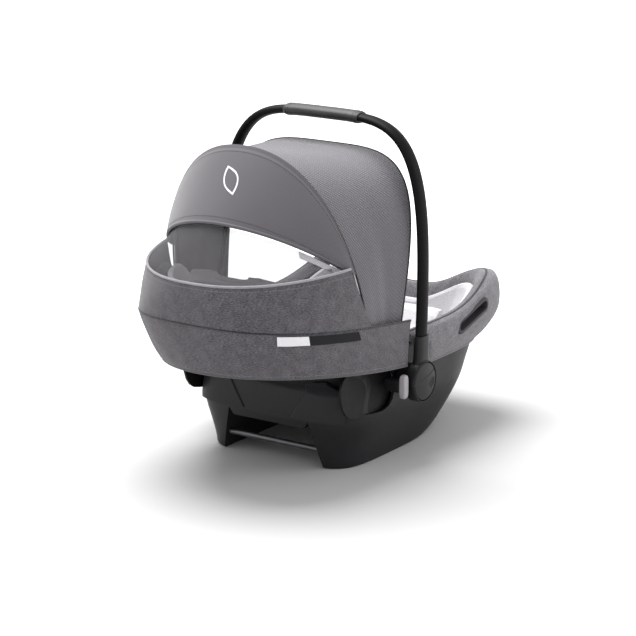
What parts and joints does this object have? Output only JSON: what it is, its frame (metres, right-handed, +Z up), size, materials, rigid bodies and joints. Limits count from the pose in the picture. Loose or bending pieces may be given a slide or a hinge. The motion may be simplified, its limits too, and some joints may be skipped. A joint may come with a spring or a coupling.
{
  "type": "infant car seat",
  "caption": "Infant car seat with rocker base, swinging carry handle, folding canopy with rear visor and mesh window, padded cover and harness.",
  "frame": {"origin": "middle of the bounding box footprint, on the floor the rockers stand on", "axes": "+X left-right across the seat, +Y from the head end to the foot end, +Z up"},
  "size_m": [0.4408, 0.7068, 0.571],
  "materials": {
    "shell_plastic": "charcoal, fine moulded grain",
    "latch_steel": "dark zinc plated bar",
    "lever_grey": "light grey satin",
    "guide_plastic": "black satin",
    "melange_cover": "grey melange twill",
    "liner_fabric": "light grey soft knit",
    "pad_fabric": "off-white quilted knit",
    "webbing": "woven harness webbing",
    "harness_pad": "dark grey padded knit",
    "buckle_plastic": "black satin",
    "button_red": "red satin",
    "button_grey": "mid grey satin",
    "handle_metal": "black powder coat",
    "grip_leather": "black grained leatherette",
    "hub_plastic": "black satin",
    "canopy_stay": "black",
    "canopy_cloth": "mid grey ripstop",
    "visor_cloth": "smooth mid grey twill",
    "mesh_cloth": "light grey open mesh",
    "melange_band": "dark grey melange twill",
    "piping_grey": "mid grey piping",
    "piping_dark": "near black piping",
    "tab_grey": "light grey woven tab",
    "label_white": "plain white woven label",
    "label_black": "plain black woven label"
  },
  "bodies": {
    "carrier": {"shell": "shell_plastic", "rear_bar": "latch_steel", "front_bar": "latch_steel", "belt_fin_l": "shell_plastic", "belt_fin_r": "shell_plastic", "hub_boss_l": "shell_plastic", "hub_boss_r": "shell_plastic", "canopy_mount_l": "shell_plastic", "canopy_mount_r": "shell_plastic", "belt_guide_l": "guide_plastic", "belt_guide_r": "guide_plastic", "seat_cover": "melange_cover", "seat_liner": "liner_fabric", "seat_pad": "pad_fabric", "head_pad": "pad_fabric", "shoulder_strap_l": "webbing", "shoulder_strap_r": "webbing", "shoulder_pad_l": "harness_pad", "shoulder_pad_r": "harness_pad", "crotch_strap": "webbing", "crotch_pad": "harness_pad", "buckle": "buckle_plastic", "adjuster": "buckle_plastic", "adjust_strap": "webbing", "canopy_rear_bow": "canopy_stay", "canopy_rear": "canopy_cloth", "visor": "visor_cloth", "visor_edge": "visor_cloth", "mesh_window": "mesh_cloth", "band_upper": "melange_band", "band_lower": "melange_band", "piping_top": "piping_grey", "piping_seam": "piping_dark", "canopy_tab": "tab_grey", "label_white": "label_white", "label_black": "label_black"},
    "handle": {"handle_bow": "handle_metal", "handle_grip": "grip_leather", "handle_end_l": "hub_plastic", "handle_end_r": "hub_plastic"},
    "handle_button_l": {"handle_button_l": "hub_plastic"},
    "handle_button_r": {"handle_button_r": "hub_plastic"},
    "adapter_lever_l": {"adapter_lever_l": "lever_grey"},
    "adapter_lever_r": {"adapter_lever_r": "lever_grey"},
    "buckle_button": {"buckle_button": "button_red"},
    "adjuster_button": {"adjuster_button": "button_grey"},
    "canopy": {"canopy_bow": "canopy_stay", "canopy_arm_l": "shell_plastic", "canopy_arm_r": "shell_plastic", "canopy_front": "canopy_cloth"}
  },
  "joints": [
    {"name": "handle_swing", "type": "hinge", "parent": "carrier", "child": "handle", "pos_m": [0, 0.0015, 0.138], "axis": [1, 0, 0], "range_deg": [-100, 0]},
    {"name": "handle_button_r_press", "type": "slide", "parent": "handle", "child": "handle_button_r", "axis": [-1, 0, 0], "range_m": [0, 0.003], "stiffness_N_per_m": 400, "springref_m": -0.002},
    {"name": "handle_button_l_press", "type": "slide", "parent": "handle", "child": "handle_button_l", "axis": [1, 0, 0], "range_m": [0, 0.003], "stiffness_N_per_m": 400, "springref_m": -0.002},
    {"name": "adapter_lever_r_pull", "type": "slide", "parent": "carrier", "child": "adapter_lever_r", "axis": [0, 0, 1], "range_m": [0, 0.006], "stiffness_N_per_m": 300, "springref_m": -0.002},
    {"name": "adapter_lever_l_pull", "type": "slide", "parent": "carrier", "child": "adapter_lever_l", "axis": [0, 0, 1], "range_m": [0, 0.006], "stiffness_N_per_m": 300, "springref_m": -0.002},
    {"name": "buckle_button_press", "type": "slide", "parent": "carrier", "child": "buckle_button", "axis": [0, -0.5193, -0.8546], "range_m": [0, 0.0028], "stiffness_N_per_m": 400, "springref_m": -0.002},
    {"name": "adjuster_button_press", "type": "slide", "parent": "carrier", "child": "adjuster_button", "axis": [0, 0.4067, -0.9135], "range_m": [0, 0.0028], "stiffness_N_per_m": 400, "springref_m": -0.002},
    {"name": "canopy_fold", "type": "hinge", "parent": "carrier", "child": "canopy", "pos_m": [0, -0.0365, 0.219], "axis": [1, 0, 0], "range_deg": [0, 38], "deforming": ["canopy_front"]}
  ]
}
